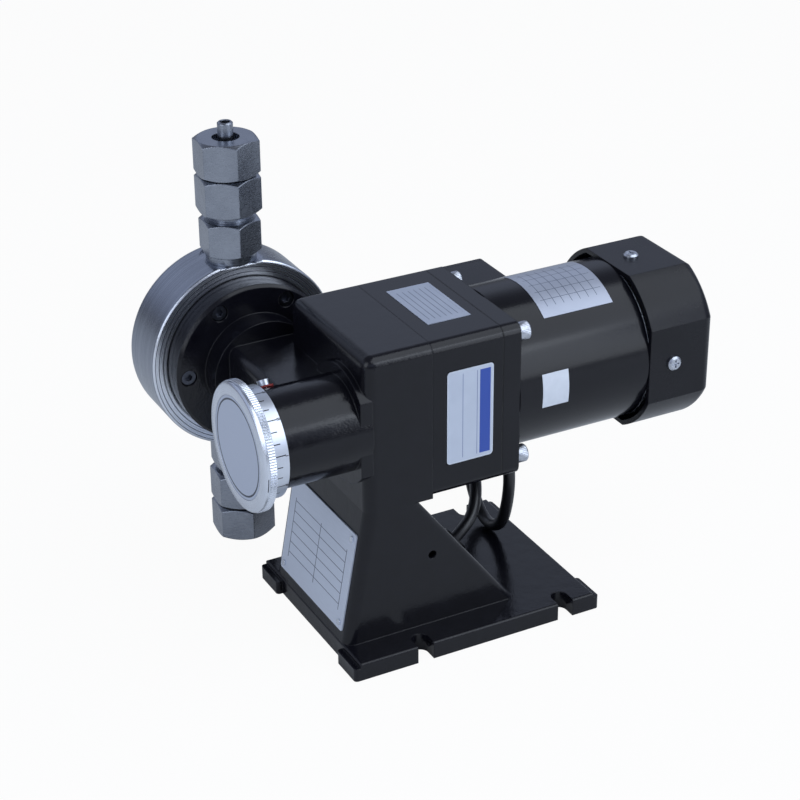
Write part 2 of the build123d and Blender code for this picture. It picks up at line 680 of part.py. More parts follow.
def cluster_gear():
    wheel = involute_gear(TEETH_WHEEL, WHEEL_W, MESH_A + 180 + 180 / TEETH_WHEEL)
    wheel -= Circle(CLUSTER_PIN_R + RUN_FIT)
    pinion = involute_gear(TEETH_PINION, OUT_GEAR_W, MESH_B)
    pinion -= Circle(CLUSTER_PIN_R + RUN_FIT)
    body = along_x(wheel, WHEEL_X, WHEEL_X + WHEEL_W, CLUSTER_Y, CLUSTER_Z)
    body += along_x(pinion, OUT_GEAR_X - 0.5, WHEEL_X + 0.5, CLUSTER_Y, CLUSTER_Z)
    save("cluster_gear", body)
    pin = along_x(Circle(CLUSTER_PIN_R), SEAM_X + 3, CASE_X + 4, CLUSTER_Y, CLUSTER_Z)
    save("cluster_pin", pin)


def gear_case():
    body = along_x(RectangleRounded(BODY, BODY, BODY_R), SEAM_X, CASE_X, MOTOR_Y, AXIS_H)
    cavity = Circle(CAVITY_R) & Rectangle(CAVITY_W, CAVITY_W)
    body -= along_x(cavity, SEAM_X + CASE_WALL, CASE_X + 1, MOTOR_Y, AXIS_H)
    body -= along_x(Circle(OUT_BEARING_R), SEAM_X - 1, SEAM_X + CASE_WALL + 1, SHAFT_Y, AXIS_H)
    body -= along_x(Circle(CLUSTER_PIN_R), SEAM_X + 3, CASE_X, CLUSTER_Y, CLUSTER_Z)
    for y, z in corner_spots():
        body -= along_x(Circle(BOLT_R + 0.2), SEAM_X - 1, CASE_X + 1, y, z)
    save("gear_case", body)


def motor_flange():
    body = along_x(RectangleRounded(BODY, BODY, BODY_R), CASE_X, SHELL_X, MOTOR_Y, AXIS_H)
    bearing_x = SHELL_X - MOTOR_BEARING_W
    body -= along_x(Circle(MOTOR_BEARING_R), bearing_x, SHELL_X + 1, MOTOR_Y, AXIS_H)
    body -= along_x(Circle(MOTOR_SHAFT_R + 1.5), CASE_X - 1, SHELL_X, MOTOR_Y, AXIS_H)
    body -= along_x(Circle(7.5), CASE_X - 1, CASE_X + 5, SHAFT_Y, AXIS_H)
    body -= along_x(Circle(CLUSTER_PIN_R), CASE_X - 1, CASE_X + 4, CLUSTER_Y, CLUSTER_Z)
    for y, z in corner_spots():
        body -= along_x(Circle(BOLT_R + 0.2), CASE_X - 1, SHELL_X + 1, y, z)
    save("motor_flange", body)


def flange_bolts():
    bolts = []
    for y, z in corner_spots():
        bolt = along_x(Circle(BOLT_HEAD_R), SHELL_X, SHELL_X + 6, y, z)
        bolt = chamfer(bolt.edges().group_by(Axis.X)[-1], 0.6)
        bolt += along_x(Circle(BOLT_R), SEAM_X - 14, SHELL_X, y, z)
        socket = RegularPolygon(2.5, 6, major_radius=False)
        bolt -= along_x(socket, SHELL_X + 3, SHELL_X + 7, y, z)
        bolts.append(bolt)
    save("flange_bolts", *bolts)


# Motor: shell, stator with its windings, rotor with the pinion cut on its shaft, and bearings.
def motor():
    inner = SHELL_R - SHELL_WALL
    save("motor_shell", along_x(ring(SHELL_R, inner), SHELL_X, COVER_X, MOTOR_Y, AXIS_H))
    core_end = CORE_X + CORE_L
    core = along_x(ring(inner, ROTOR_R + AIR_GAP), CORE_X, core_end, MOTOR_Y, AXIS_H)
    save("stator_core", core)
    coils = []
    for a, b in ((CORE_X - 9, CORE_X), (core_end, core_end + 9)):
        coil = along_x(ring(inner - 2, ROTOR_R + 3), a, b, MOTOR_Y, AXIS_H)
        coils.append(coil)
    save("stator_windings", *coils)

    pinion = involute_gear(TEETH_MOTOR, WHEEL_W + 1, MESH_A)
    rotor = along_x(pinion, WHEEL_X - 0.5, WHEEL_X + WHEEL_W + 2, MOTOR_Y, AXIS_H)
    shaft_end = COVER_X + 29
    neck_r = MOTOR_SHAFT_R - 0.2
    rotor += along_x(Circle(neck_r), WHEEL_X + WHEEL_W, SHELL_X - MOTOR_BEARING_W, MOTOR_Y, AXIS_H)
    rotor += along_x(Circle(MOTOR_SHAFT_R), SHELL_X - MOTOR_BEARING_W, shaft_end, MOTOR_Y, AXIS_H)
    rotor += along_x(Circle(6.0), SHELL_X + 0.5, COVER_X - 0.5, MOTOR_Y, AXIS_H)
    rotor += along_x(Circle(ROTOR_R), CORE_X, core_end, MOTOR_Y, AXIS_H)
    save("rotor", rotor)

    race = ring(MOTOR_BEARING_R, MOTOR_SHAFT_R + RUN_FIT)
    front = along_x(race, SHELL_X - MOTOR_BEARING_W, SHELL_X, MOTOR_Y, AXIS_H)
    rear = along_x(race, COVER_X, COVER_X + MOTOR_BEARING_W, MOTOR_Y, AXIS_H)
    save("motor_bearings", front, rear)


def flats(r, width):
    """A circle cut off by four flats."""
    return Circle(r) & Rectangle(width, width)


# End bell inside the cover, with a spigot in the shell and four lugs for the cover's screws.
BELL_T = 9.0
LUG_T = 6.0
SCREW_X = COVER_X + 15.5


def end_bell():
    face_w = COVER_W - 2 * COVER_WALL
    body = along_x(flats(SHELL_R, face_w), COVER_X, COVER_X + BELL_T, MOTOR_Y, AXIS_H)
    spigot = SHELL_R - SHELL_WALL
    body += along_x(ring(spigot, spigot - 4), COVER_X - 4, COVER_X, MOTOR_Y, AXIS_H)
    for turn in range(4):
        lug = along_x(Rectangle(13, LUG_T), COVER_X, SCREW_X + 6, 0, face_w / 2 - LUG_T / 2)
        body += Pos(0, MOTOR_Y, AXIS_H) * Rot(90 * turn, 0, 0) * lug
    body -= along_x(Circle(MOTOR_BEARING_R), COVER_X - 1, COVER_X + MOTOR_BEARING_W, MOTOR_Y, AXIS_H)
    body -= along_x(Circle(MOTOR_SHAFT_R + 1), COVER_X - 5, COVER_X + 20, MOTOR_Y, AXIS_H)
    for turn in range(4):
        hole = along_z(Circle(2.0), face_w / 2 - LUG_T - 1, COVER_W, SCREW_X, 0)
        vent = along_x(Circle(7), COVER_X - 5, COVER_X + 20, 0, 27)
        spin = Pos(0, MOTOR_Y, AXIS_H)
        body -= spin * Rot(90 * turn, 0, 0) * hole
        body -= spin * Rot(90 * turn + 45, 0, 0) * vent
    save("end_bell", body)


def fan():
    x0 = COVER_X + 13
    disc_x = COVER_X + 27
    body = along_x(Circle(FAN_R), disc_x, disc_x + 2, MOTOR_Y, AXIS_H)
    body += along_x(Circle(9), x0, disc_x, MOTOR_Y, AXIS_H)
    for i in range(FAN_BLADES):
        blade = along_x(Rectangle(1.8, FAN_R - 8), x0, disc_x + 1, 0, 8 + (FAN_R - 8) / 2)
        body += Pos(0, MOTOR_Y, AXIS_H) * Rot(360 * i / FAN_BLADES, 0, 0) * blade
    body -= along_x(Circle(MOTOR_SHAFT_R), x0 - 1, disc_x + 5, MOTOR_Y, AXIS_H)
    save("fan", body)


# Fan cover: round with four flats, open to the front, with air slots in its back.
def fan_cover():
    x1 = COVER_X + COVER_L
    body = along_x(flats(COVER_R, COVER_W), COVER_X, x1, MOTOR_Y, AXIS_H)
    body = fillet(body.edges().group_by(Axis.X)[-1], 6.0)
    inner = flats(COVER_R - COVER_WALL, COVER_W - 2 * COVER_WALL)
    body -= along_x(inner, COVER_X - 1, x1 - COVER_WALL, MOTOR_Y, AXIS_H)
    for turn in range(4):
        hole = along_z(Circle(2.2), COVER_W / 2 - 5, COVER_W / 2 + 1, SCREW_X, 0)
        body -= Pos(0, MOTOR_Y, AXIS_H) * Rot(90 * turn, 0, 0) * hole
    for i in range(12):
        slot = along_x(Rectangle(4.2, 18), x1 - COVER_WALL - 1, x1 + 1, 0, 22)
        body -= Pos(0, MOTOR_Y, AXIS_H) * Rot(30 * i, 0, 0) * slot
    save("fan_cover", body)


def cover_screws():
    screws = []
    for turn in range(4):
        top = COVER_W / 2
        screw = along_z(Circle(4.2), top, top + 2.2, SCREW_X, 0)
        screw = chamfer(screw.edges().group_by(Axis.Z)[-1], 1.0)
        screw += along_z(Circle(2.0), top - 8, top, SCREW_X, 0)
        cross = Rectangle(4.6, 1.0) + Rectangle(1.0, 4.6)
        screw -= along_z(cross, top + 1.2, top + 3, SCREW_X, 0)
        screws.append(Pos(0, MOTOR_Y, AXIS_H) * Rot(90 * turn, 0, 0) * screw)
    save("cover_screws", *screws)


# Terminal box on the motor's far side, with a lid facing out and a gland facing down.
BOX_X0 = SHELL_X + 7.3
BOX_X1 = SHELL_X + 37.3
BOX_Z0 = AXIS_H - 20
BOX_Z1 = AXIS_H + 35
BOX_Y1 = 60.0
LID_T = 3.5
BOX_WALL = 2.5
GLAND_TIP = BOX_Z0 - 9


def terminal_box():
    body = block(BOX_X0, BOX_X1, MOTOR_Y + 25, BOX_Y1, BOX_Z0, BOX_Z1)
    body = fillet(body.edges().filter_by(Axis.Y), 3.0)
    hollow = block(
        BOX_X0 + BOX_WALL, BOX_X1 - BOX_WALL, MOTOR_Y + SHELL_R + BOX_WALL, BOX_Y1 + 1,
        BOX_Z0 + BOX_WALL, BOX_Z1 - BOX_WALL,
    )
    body -= hollow
    body -= along_x(Circle(SHELL_R), SHELL_X, COVER_X, MOTOR_Y, AXIS_H)
    body -= along_z(Circle(CORD_R + 1), BOX_Z0 - 1, BOX_Z0 + BOX_WALL + 1, *GLAND)
    save("terminal_box", body)
    lid = block(BOX_X0, BOX_X1, BOX_Y1, BOX_Y1 + LID_T, BOX_Z0, BOX_Z1)
    lid = fillet(lid.edges().filter_by(Axis.Y), 3.0)
    save("terminal_lid", chamfer(lid.edges().group_by(Axis.Y)[-1], 0.8))


def cable_gland():
    nut = along_z(RegularPolygon(7, 6, major_radius=False), BOX_Z0 - 6, BOX_Z0, *GLAND)
    dome = along_z(Circle(5.8), GLAND_TIP, BOX_Z0 - 6, *GLAND)
    dome = chamfer(dome.edges().group_by(Axis.Z)[0], 1.0)
    bore = along_z(Circle(CORD_R), GLAND_TIP + 3, BOX_Z0 + 1, *GLAND)
    save("cable_gland", nut + dome - bore)


# Motor cord: down from the gland, one loop on the foot, up again and over, down into the pillar.
def cord_points():
    entry = entry_frame(0).origin
    out = entry_frame(0).z_dir
    first = Vector(GLAND[0], GLAND[1], GLAND_TIP)
    last = entry + out * (-WALL)
    return [
        first,
        Vector(GLAND[0], GLAND[1], 86),
        Vector(44, 53.5, 64),
        Vector(47.5, 52.5, 42),
        Vector(48.5, 44.5, 21),
        Vector(48.8, 30, 12.6),
        Vector(48.8, 15, 20),
        Vector(48, 7, 39),
        Vector(47.5, 4, 60),
        Vector(46.5, 9, 79),
        Vector(44, 25, 88),
        Vector(41, 41, 78),
        Vector(39, 40, 58),
        Vector(35.5, 25, 45),
        Vector(28, 15.5, 32.5),
        entry + out * 5,
        last,
    ]


def cord_radii(points):
    """Arc radius at each corner: 0.45 of the shorter run over the tangent of half the turn."""
    radii = []
    for a, b, c in zip(points, points[1:], points[2:]):
        turn = (b - a).get_angle(c - b)
        radii.append(0.45 * min((b - a).length, (c - b).length) / tan(radians(turn / 2)))
    return radii


def motor_cord():
    points = cord_points()
    radii = cord_radii(points)
    path = FilletPolyline(*points, radius=radii)
    tube = sweep(Plane(path @ 0, z_dir=path % 0) * Circle(CORD_R), path)
    save("motor_cord", tube)
    print("cord length", round(path.length, 1), "volume ratio",
          round(tube.volume / (path.length * pi * CORD_R**2), 5))
    print("cord radii", [round(r, 1) for r in radii])
    grommet = extrude(entry_frame(-WALL) * ring(GROMMET_R, CORD_R), WALL)
    grommet += extrude(entry_frame(0) * ring(GROMMET_R + 1.8, CORD_R), 2.0)
    save("cord_grommet", grommet)


# Plates and labels, all bare.
def plates():
    face = Plane(
        (left_slope(45.0), MOTOR_Y, 45.0),
        x_dir=(0, 1, 0),
        z_dir=(-(PILLAR_TOP - FOOT_T), 0, BOX_X - PILLAR_FOOT_LEFT),
    )
    plate = extrude(face * RectangleRounded(77, 58, 1.5), PLATE_T)
    rivets = []
    for sy in (-1, 1):
        for sz in (-1, 1):
            spot = face * Pos(34.5 * sy, 25 * sz)
            plate -= spot * Cylinder(1.0, 4)
            rivet = spot * Pos(0, 0, PLATE_T) * extrude(Circle(1.8), 0.7)
            rivet += spot * extrude(Circle(1.0), PLATE_T)
            rivets.append(rivet)
    save("nameplate", plate)
    save("nameplate_rivets", *rivets)

    side = MOTOR_Y - HALF
    top = AXIS_H + HALF
    save("case_side_label", block(SEAM_X + 8.2, SEAM_X + 36, side - LABEL_T, side, 106, 160.5))
    save("case_top_label", block(SEAM_X + 9.5, SEAM_X + 35.2, -19, 28, top, top + LABEL_T))

    def wrapped(x0, x1, a0, a1):
        wedge_r = 60
        pie = make_face(Polyline(
            (0, 0),
            (wedge_r * sin(radians(a0)), wedge_r * cos(radians(a0))),
            (wedge_r * sin(radians((a0 + a1) / 2)), wedge_r * cos(radians((a0 + a1) / 2))),
            (wedge_r * sin(radians(a1)), wedge_r * cos(radians(a1))),
            close=True,
        ))
        return along_x(ring(SHELL_R + LABEL_T, SHELL_R + 0.02) & pie, x0, x1, MOTOR_Y, AXIS_H)

    save("motor_rating_plate", wrapped(SHELL_X + 24, SHELL_X + 67.5, -38, 18.5))
    save("motor_sticker", wrapped(SHELL_X + 13.8, SHELL_X + 30, -99.5, -75))


os.makedirs("parts", exist_ok=True)
pump_casting()
lock_screw()
scale_ring()
stroke_knob()
adjusting_screw()
adjusting_nut()
slide_rod()
crank_carrier()
cam()
push_rod()
return_spring()
diaphragm()
pump_head()
head_screws()
valve("discharge", DISCHARGE, 1, NIPPLE_OUT)
valve("suction", SUCTION, -1, -1.0)
valve_insides()
output_train()
cluster_gear()
gear_case()
motor_flange()
flange_bolts()
motor()
end_bell()
fan()
fan_cover()
cover_screws()
terminal_box()
cable_gland()
motor_cord()
plates()
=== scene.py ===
import math
import bmesh
import bpy
from mathutils import Matrix, Vector


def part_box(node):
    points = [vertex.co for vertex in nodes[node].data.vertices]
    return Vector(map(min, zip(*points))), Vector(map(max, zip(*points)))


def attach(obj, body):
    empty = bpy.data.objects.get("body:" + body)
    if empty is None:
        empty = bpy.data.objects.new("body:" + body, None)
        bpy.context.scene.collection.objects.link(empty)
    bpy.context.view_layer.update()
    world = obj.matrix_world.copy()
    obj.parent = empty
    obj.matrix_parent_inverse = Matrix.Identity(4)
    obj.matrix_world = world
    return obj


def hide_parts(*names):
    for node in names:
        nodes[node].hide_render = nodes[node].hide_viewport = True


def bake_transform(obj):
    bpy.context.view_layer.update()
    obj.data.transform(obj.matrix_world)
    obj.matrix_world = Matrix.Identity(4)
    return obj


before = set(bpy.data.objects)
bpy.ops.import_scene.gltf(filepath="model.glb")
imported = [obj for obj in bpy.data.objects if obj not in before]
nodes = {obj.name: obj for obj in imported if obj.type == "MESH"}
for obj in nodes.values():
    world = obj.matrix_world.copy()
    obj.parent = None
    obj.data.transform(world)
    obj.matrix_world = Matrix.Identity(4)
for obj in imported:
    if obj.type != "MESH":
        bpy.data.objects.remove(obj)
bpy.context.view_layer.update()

# Camera: stands in front of the knob end, to the left and above, with a long lens.
# It looks along the motor towards its fan cover, with the pump head behind.
lens = bpy.data.cameras.new("camera")
lens.lens = 94.58
lens.sensor_width = 36.0
lens.clip_start = 0.05
camera = bpy.data.objects.new("camera", lens)
bpy.context.scene.collection.objects.link(camera)
across = Vector((0.88359567, -0.46819646, -0.00712447))
above = Vector((0.22143123, 0.40438919, 0.8873768))
ahead = Vector((0.41258562, 0.78565988, -0.46098986))
turn = Matrix((across, above, -ahead)).transposed().to_4x4()
camera.matrix_world = Matrix.Translation((-0.493316, -0.887477, 0.647782)) @ turn
bpy.context.scene.camera = camera
bpy.context.scene.view_settings.view_transform = "Standard"


# Floor and studio: a pale floor that keeps a soft shadow, under a white surround.
# Three soft boxes light the pump: one high in front, one from the left and one low from the right.
class Wire:
    """A socket that can stand in a Python sum."""

    def __init__(self, paint, socket):
        self.paint = paint
        self.socket = socket

    def sum(self, operation, a, b):
        return self.paint.node("ShaderNodeMath", {"operation": operation}, {0: a, 1: b})

    def __add__(self, other):
        return self.sum("ADD", self, other)

    def __radd__(self, other):
        return self.sum("ADD", other, self)

    def __sub__(self, other):
        return self.sum("SUBTRACT", self, other)

    def __rsub__(self, other):
        return self.sum("SUBTRACT", other, self)

    def __mul__(self, other):
        return self.sum("MULTIPLY", self, other)

    def __rmul__(self, other):
        return self.sum("MULTIPLY", other, self)

    def __truediv__(self, other):
        return self.sum("DIVIDE", self, other)

    def __gt__(self, other):
        return self.sum("GREATER_THAN", self, other)

    def __lt__(self, other):
        return self.sum("LESS_THAN", self, other)

    def __pow__(self, other):
        return self.sum("POWER", self, other)

    def __abs__(self):
        return self.sum("ABSOLUTE", self, 0.0)


class Paint:
    """One node tree, and the one way to add to it."""

    def __init__(self, name, tree=None):
        if tree is None:
            self.material = bpy.data.materials.new(name)
            self.material.use_nodes = True
            tree = self.material.node_tree
        self.tree = tree
        self.shader = next((n for n in tree.nodes if n.type == "BSDF_PRINCIPLED"), None)

    def node(self, kind, settings=None, inputs=None, out=0):
        n = self.tree.nodes.new(kind)
        for key, value in (settings or {}).items():
            if key == "stops":
                while len(n.color_ramp.elements) < len(value):
                    n.color_ramp.elements.new(0.5)
                for element, (place, colour) in zip(n.color_ramp.elements, value):
                    element.position = place
                    element.color = (*colour, 1.0)
            else:
                setattr(n, key, value)
        for key, value in (inputs or {}).items():
            self.feed(n.inputs[key], value)
        return Wire(self, n.outputs[out])

    def feed(self, socket, value):
        if isinstance(value, Wire):
            self.tree.links.new(value.socket, socket)
        elif isinstance(value, tuple) and socket.type == "RGBA":
            socket.default_value = (*value, 1.0)
        else:
            socket.default_value = value

    def place(self):
        return self.node("ShaderNodeTexCoord", out="Object")

    def parts(self, vector=None):
        v = vector or self.place()
        return [self.node("ShaderNodeSeparateXYZ", None, {0: v}, i) for i in range(3)]

    def vector(self, x, y, z):
        return self.node("ShaderNodeCombineXYZ", None, {0: x, 1: y, 2: z})

    def noise(self, scale, detail=3.0, vector=None):
        v = vector or self.place()
        return self.node("ShaderNodeTexNoise", None, {"Vector": v, "Scale": scale, "Detail": detail})

    def blend(self, factor, a, b):
        return self.node("ShaderNodeMix", {"data_type": "RGBA"}, {0: factor, 6: a, 7: b}, 2)

    def bump(self, height, depth, strength=1.0, edge=0.0):
        inputs = {"Height": height, "Distance": depth, "Strength": strength}
        if edge:
            inputs["Normal"] = self.edge(edge)
        return self.node("ShaderNodeBump", None, inputs)

    def edge(self, radius):
        return self.node("ShaderNodeBevel", {"samples": 4}, {"Radius": radius})

    def polar(self, a, b):
        """The angle whose tangent is a / b."""
        return self.node("ShaderNodeMath", {"operation": "ARCTAN2"}, {0: a, 1: b})

    def fract(self, value):
        return self.node("ShaderNodeMath", {"operation": "FRACT"}, {0: value})

    def positive(self, value):
        return self.node("ShaderNodeMath", {"operation": "MAXIMUM"}, {0: value, 1: 0.0})

    def reach(self, u, v):
        """The length of (u, v)."""
        return (u * u + v * v) ** 0.5

    def band(self, value, low, high):
        """1 where the value lies between low and high."""
        return (value > low) * (value < high)

    def set(self, **sockets):
        for key, value in sockets.items():
            self.feed(self.shader.inputs[key.replace("_", " ")], value)
        return self

    def cover(self, *names):
        for name in names:
            o = nodes[name] if isinstance(name, str) else name
            o.data.materials.clear()
            o.data.materials.append(self.material)


def sheet_object(name, points, faces):
    mesh = bpy.data.meshes.new(name)
    mesh.from_pydata(points, [], faces)
    o = bpy.data.objects.new(name, mesh)
    bpy.context.scene.collection.objects.link(o)
    return o


floor = sheet_object("floor", [(-6, -6, 0), (6, -6, 0), (6, 6, 0), (-6, 6, 0)], [(0, 1, 2, 3)])
pale = Paint("pale_floor")
grain = pale.noise(3.0, 2.0)
pale.set(Base_Color=pale.blend(grain, (0.74, 0.76, 0.79), (0.80, 0.82, 0.84)), Roughness=0.8)
seen = pale.node("ShaderNodeLightPath", out="Is Camera Ray")
mirrored = pale.node("ShaderNodeLightPath", out="Is Glossy Ray")
passed = pale.node("ShaderNodeLightPath", out="Is Transmission Ray")
glow = pale.node("ShaderNodeEmission", None, {"Color": (1.0, 1.0, 1.0), "Strength": 1.0})
shade = Wire(pale, pale.shader.outputs[0])
white_seen, white_mirrored = 0.95, 0.12
white_part = seen * white_seen + (mirrored + passed) * white_mirrored
floor_mix = pale.node("ShaderNodeMixShader", None, {0: white_part, 1: shade, 2: glow})
pale.tree.links.new(floor_mix.socket, pale.tree.nodes["Material Output"].inputs[0])
pale.cover(floor)

world = bpy.data.worlds.new("studio")
world.use_nodes = True
bpy.context.scene.world = world
sky = Paint("studio", world.node_tree)
eye = sky.node("ShaderNodeLightPath", out="Is Camera Ray")
gloss = sky.node("ShaderNodeLightPath", out="Is Glossy Ray")
through = sky.node("ShaderNodeLightPath", out="Is Transmission Ray")
height = sky.parts(sky.node("ShaderNodeTexCoord", out="Generated"))[2]
wall = sky.node(
    "ShaderNodeValToRGB",
    {"stops": [
        (0.0, (0.36, 0.40, 0.50)), (0.42, (0.09, 0.11, 0.16)), (0.52, (0.04, 0.05, 0.08)),
        (0.62, (0.26, 0.31, 0.45)), (0.75, (0.50, 0.58, 0.78)), (0.86, (0.10, 0.12, 0.18)),
        (1.0, (0.05, 0.06, 0.09)),
    ]},
    {0: height * 0.5 + 0.5},
)
plain = sky.blend(gloss + through, (0.30, 0.335, 0.40), wall)
backdrop = sky.blend(eye + gloss * white_mirrored + through * white_mirrored, plain, (1.0, 1.0, 1.0))
surround = sky.node("ShaderNodeBackground", None, {"Color": backdrop, "Strength": 1.0})
sky.tree.links.new(surround.socket, sky.tree.nodes["World Output"].inputs[0])


def soft_box(name, spot, size, power, colour):
    light = bpy.data.lights.new(name, "AREA")
    light.shape = "RECTANGLE"
    light.size, light.size_y = size
    light.energy = power
    light.color = colour
    o = bpy.data.objects.new(name, light)
    bpy.context.scene.collection.objects.link(o)
    o.location = spot
    aim = Vector((-0.01, 0.02, 0.13)) - Vector(spot)
    o.rotation_euler = aim.to_track_quat("-Z", "Y").to_euler()


soft_box("light_high", (0.5, -0.5, 1.15), (1.5, 1.1), 10.0, (0.84, 0.91, 1.0))
soft_box("light_left", (-1.2, -0.3, 0.7), (0.7, 1.1), 4.0, (0.86, 0.92, 1.0))
soft_box("light_right", (0.7, -1.2, 0.6), (0.4, 1.0), 3.2, (0.84, 0.91, 1.0))

# Motor cord: a round black rubber lead, limp, in one loop on the foot.
# It hangs from the terminal box's gland and goes into the pillar through a grommet.
run, drop = 59.7, 77.7
slope = Vector((drop, 0, run)).normalized()
entry = Vector((-38.5 + run * (88 - 22) / drop, 11, 22))
route = [
    Vector((41, 54, 104)), Vector((41, 54, 86)), Vector((43, 53.5, 64)), Vector((45, 52.5, 42)),
    Vector((46, 44.5, 21)), Vector((46.3, 30, 12.6)), Vector((46.3, 15, 20)), Vector((45.5, 7, 39)),
    Vector((45, 4, 60)), Vector((44.5, 9, 79)), Vector((43, 25, 88)), Vector((41, 41, 78)),
    Vector((39, 40, 58)), Vector((35.5, 25, 45)), Vector((28, 15.5, 32.5)), entry + slope * 5,
    entry - slope * 6,
]
curve = bpy.data.curves.new("motor_lead", "CURVE")
curve.dimensions = "3D"
line = curve.splines.new("NURBS")
line.points.add(len(route) - 1)
for point, place in zip(line.points, route):
    point.co = (*(place * 0.001), 1.0)
line.order_u = 3
line.use_endpoint_u = True
line.resolution_u = 12
curve.bevel_depth = 0.0035
curve.bevel_resolution = 6
lead = bpy.data.objects.new("motor_lead", curve)
bpy.context.scene.collection.objects.link(lead)

rubber = Paint("cord_rubber")
dust = rubber.noise(900.0, 4.0)
rubber.set(
    Base_Color=rubber.blend(dust, (0.006, 0.006, 0.008), (0.016, 0.016, 0.019)),
    Roughness=0.30 + dust * 0.12,
    Normal=rubber.bump(dust, 0.00004),
    Specular_IOR_Level=0.6,
)
lead.data.materials.append(rubber.material)
rubber.cover("cord_grommet")
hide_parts("motor_cord")
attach(lead, "stand")

# Pump body: one grey-iron casting, fettled and dipped in gloss black enamel.
# The enamel lies over the sand-cast skin, so its shine rolls a little.
enamel = Paint("black_enamel")
skin = enamel.noise(130.0, 5.0)
peel = enamel.noise(900.0, 2.0)
enamel.set(
    Base_Color=enamel.blend(skin, (0.003, 0.003, 0.005), (0.007, 0.007, 0.011)),
    Roughness=0.10 + skin * 0.12,
    Normal=enamel.bump(skin * 0.7 + peel * 0.3, 0.00035, 0.55, 0.0009),
    Specular_IOR_Level=0.32,
)
enamel.cover("pump_casting")

# Gear case, motor flange and shell: machined parts sprayed in the same black.
# Sprayed paint is smoother than the casting, with a fine peel.
spray = Paint("black_spray")
peel = spray.noise(700.0, 3.0)
cloud = spray.noise(25.0, 3.0)
coat = spray.blend(cloud, (0.003, 0.003, 0.005), (0.008, 0.008, 0.012))
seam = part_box("motor_flange")[0][0]
joint = spray.band(spray.parts()[0], seam - 0.0004, seam + 0.0004)
spray.set(
    Base_Color=spray.blend(joint, coat, (0.001, 0.001, 0.002)),
    Roughness=0.13 + cloud * 0.10,
    Normal=spray.bump(peel * 0.06 - joint, 0.0006, 0.8, 0.0009),
    Specular_IOR_Level=0.3,
)
spray.cover("gear_case", "motor_flange", "motor_shell")

# Fan cover, fan, terminal box and gland: moulded black plastic.
# The moulds are lightly grained, which breaks up the shine.
moulded = Paint("moulded_plastic")
fine = moulded.noise(2600.0, 3.0)
wide = moulded.noise(40.0, 2.0)
moulded.set(
    Base_Color=moulded.blend(wide, (0.003, 0.003, 0.005), (0.007, 0.007, 0.011)),
    Roughness=0.20 + wide * 0.12,
    Normal=moulded.bump(fine, 0.00005, 0.7, 0.0007),
    Specular_IOR_Level=0.28,
)
moulded.cover("fan_cover", "fan", "terminal_box", "terminal_lid", "cable_gland")

# Pump head: a thick stainless disc, faced and turned in a lathe.
# The tool leaves fine rings on its faces and fine hoops round its rim.
turned = Paint("turned_stainless")
x, y, z = turned.parts()
head_x, axis_z = -0.0815, 0.133
out = turned.reach(x - head_x, z - axis_z)
rings = turned.noise(1.0, 4.0, turned.vector(out * 2600.0, y * 2600.0, 0.0))
hoops = turned.noise(1.0, 2.0, turned.vector(out * 500.0, y * 500.0, 3.0))
smear = turned.noise(14.0, 3.0)
# Three narrow grooves near the face's edge: the bump cuts them in, and their dark colour is painted shade
# in the grooves.
grooves_with_painted_shade = turned.band(out, 0.0486, 0.0490) + turned.band(out, 0.0512, 0.0516)
grooves_with_painted_shade = grooves_with_painted_shade + turned.band(out, 0.0534, 0.0537)
rim = turned.blend(rings * 0.5 + hoops * 0.5, (0.14, 0.16, 0.20), (0.46, 0.49, 0.56))
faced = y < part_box("pump_head")[0][1] + 0.0006
steel = turned.blend(faced, rim, turned.blend(rings, (0.62, 0.65, 0.72), (0.84, 0.87, 0.93)))
turned.set(
    Base_Color=turned.blend(grooves_with_painted_shade, steel, (0.10, 0.11, 0.14)),
    Metallic=1.0,
    Roughness=0.16 + rings * 0.14 + smear * 0.08,
    Normal=turned.bump(rings * 0.1 - grooves_with_painted_shade, 0.0006, 0.8, 0.0012),
)
turned.cover("pump_head")

# Valves: hexagon bar and turned rounds in stainless steel, with faint mill marks.
# Liquid only meets stainless, so the seats and balls are of the same steel.
barstock = Paint("hexagon_stainless")
x, y, z = barstock.parts()
lines = barstock.noise(1.0, 4.0, barstock.vector(x * 300.0, y * 300.0, z * 3200.0))
stain = barstock.noise(60.0, 4.0)
barstock.set(
    Base_Color=barstock.blend(stain * 0.6 + lines * 0.4, (0.15, 0.165, 0.20), (0.44, 0.47, 0.53)),
    Metallic=1.0,
    Roughness=0.18 + lines * 0.14 + stain * 0.06,
    Normal=barstock.bump(lines, 0.00004, 0.8, 0.0008),
)
barstock.cover(*[n for n in nodes if n.startswith(("discharge_", "suction_", "valve_"))])

# Stroke knob: aluminium, turned bright, a plain band in front and a straight knurl behind it.
# It screws to the adjusting screw, and the motor's end bell and the nameplate's rivets look the same.
def turn_up(points, faces, centre, profile, steps=48, depth=0.0, loop=True):
    """Adds a piece turned about X. A profile point is (x, radius, kind), in mm.

    The kind is "knurl", "hex" or "". A loop closes on itself, and any other profile is capped at both ends.
    """
    first = len(points)
    for x, radius, kind in profile:
        for k in range(steps):
            a = 2.0 * math.pi * k / steps
            r = radius - (depth if kind == "knurl" and k % 2 else 0.0)
            if kind == "hex":
                r = radius / math.cos(a % (math.pi / 3.0) - math.pi / 6.0)
            y, z = centre[0] + r * math.cos(a), centre[1] + r * math.sin(a)
            points.append((x * 0.001, y * 0.001, z * 0.001))
    count = len(profile)
    for i in range(count if loop else count - 1):
        here, there = first + i * steps, first + (i + 1) % count * steps
        for k in range(steps):
            n = (k + 1) % steps
            faces.append((here + k, there + k, there + n, here + n))
    if not loop:
        faces.append(tuple(first + k for k in range(steps)))
        faces.append(tuple(first + (count - 1) * steps + k for k in reversed(range(steps))))


